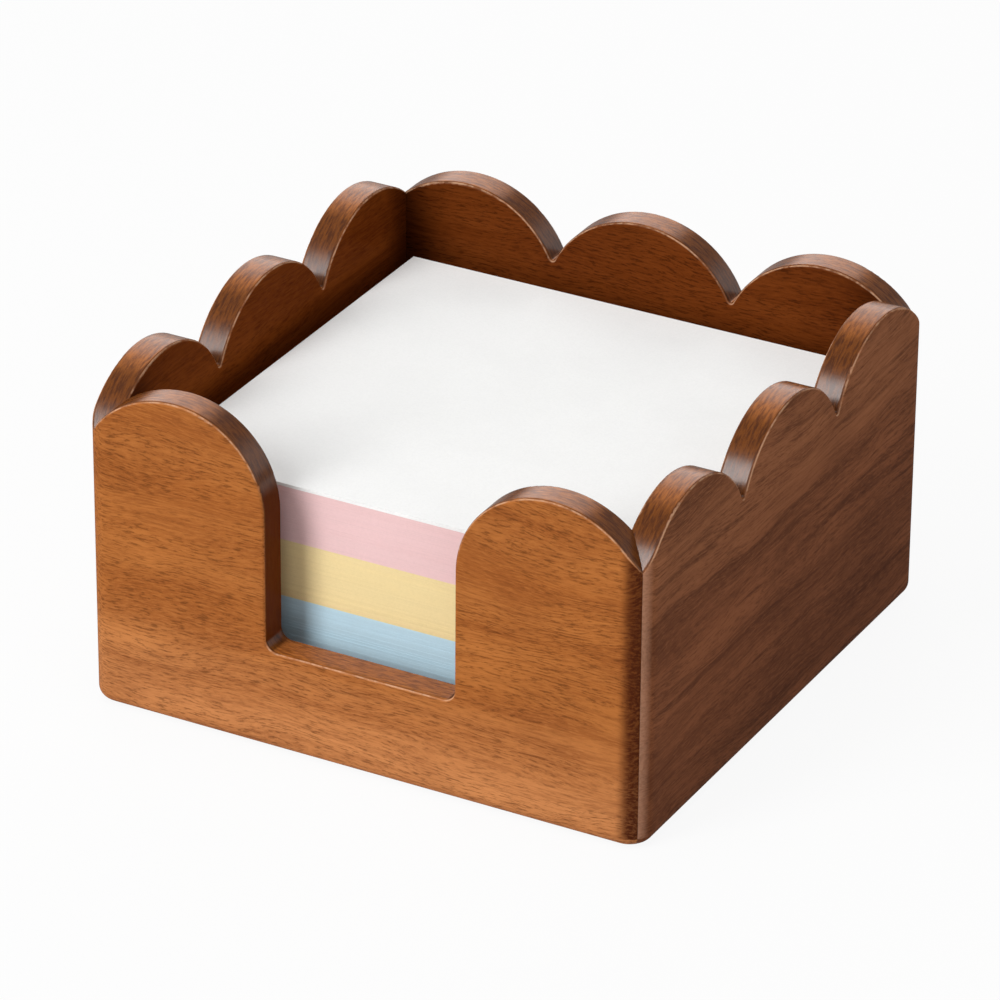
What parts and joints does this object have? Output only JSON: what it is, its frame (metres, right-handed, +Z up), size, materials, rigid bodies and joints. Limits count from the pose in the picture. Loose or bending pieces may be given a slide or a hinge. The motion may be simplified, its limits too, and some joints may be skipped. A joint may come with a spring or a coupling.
{
  "type": "memo pad holder",
  "caption": "Square open wooden note holder with scalloped walls, mitred corners, a front finger notch and a stack of white, pink, yellow and blue notes.",
  "frame": {"origin": "middle of the footprint, on the surface the holder stands on", "axes": "+Z up, +X to the right along the front wall, +Y from the notched front wall to the back wall"},
  "size_m": [0.092, 0.092, 0.0526],
  "materials": {
    "walnut_front": "satin oiled walnut",
    "walnut_back": "satin oiled walnut",
    "walnut_left": "satin oiled walnut",
    "walnut_right": "satin oiled walnut",
    "walnut_floor": "satin oiled walnut",
    "spline_wood": "raw hardwood",
    "blue_paper": "matte paper",
    "yellow_paper": "matte paper",
    "pink_paper": "matte paper",
    "white_paper": "matte paper"
  },
  "bodies": {
    "holder": {"front_panel": "walnut_front", "back_panel": "walnut_back", "left_panel": "walnut_left", "right_panel": "walnut_right", "base_panel": "walnut_floor", "corner_spline_front_left": "spline_wood", "corner_spline_front_right": "spline_wood", "corner_spline_back_left": "spline_wood", "corner_spline_back_right": "spline_wood"},
    "blue": {"blue_pad": "blue_paper"},
    "yellow": {"yellow_pad": "yellow_paper"},
    "pink": {"pink_pad": "pink_paper"},
    "white": {"white_sheets": "white_paper"}
  },
  "joints": [
    {"name": "blue_lift", "type": "slide", "parent": "holder", "child": "blue", "axis": [0, 0, 1], "range_m": [0, 0.06]},
    {"name": "yellow_lift", "type": "slide", "parent": "blue", "child": "yellow", "axis": [0, 0, 1], "range_m": [0, 0.06]},
    {"name": "pink_lift", "type": "slide", "parent": "yellow", "child": "pink", "axis": [0, 0, 1], "range_m": [0, 0.06]},
    {"name": "white_lift", "type": "slide", "parent": "pink", "child": "white", "axis": [0, 0, 1], "range_m": [0, 0.06]}
  ]
}
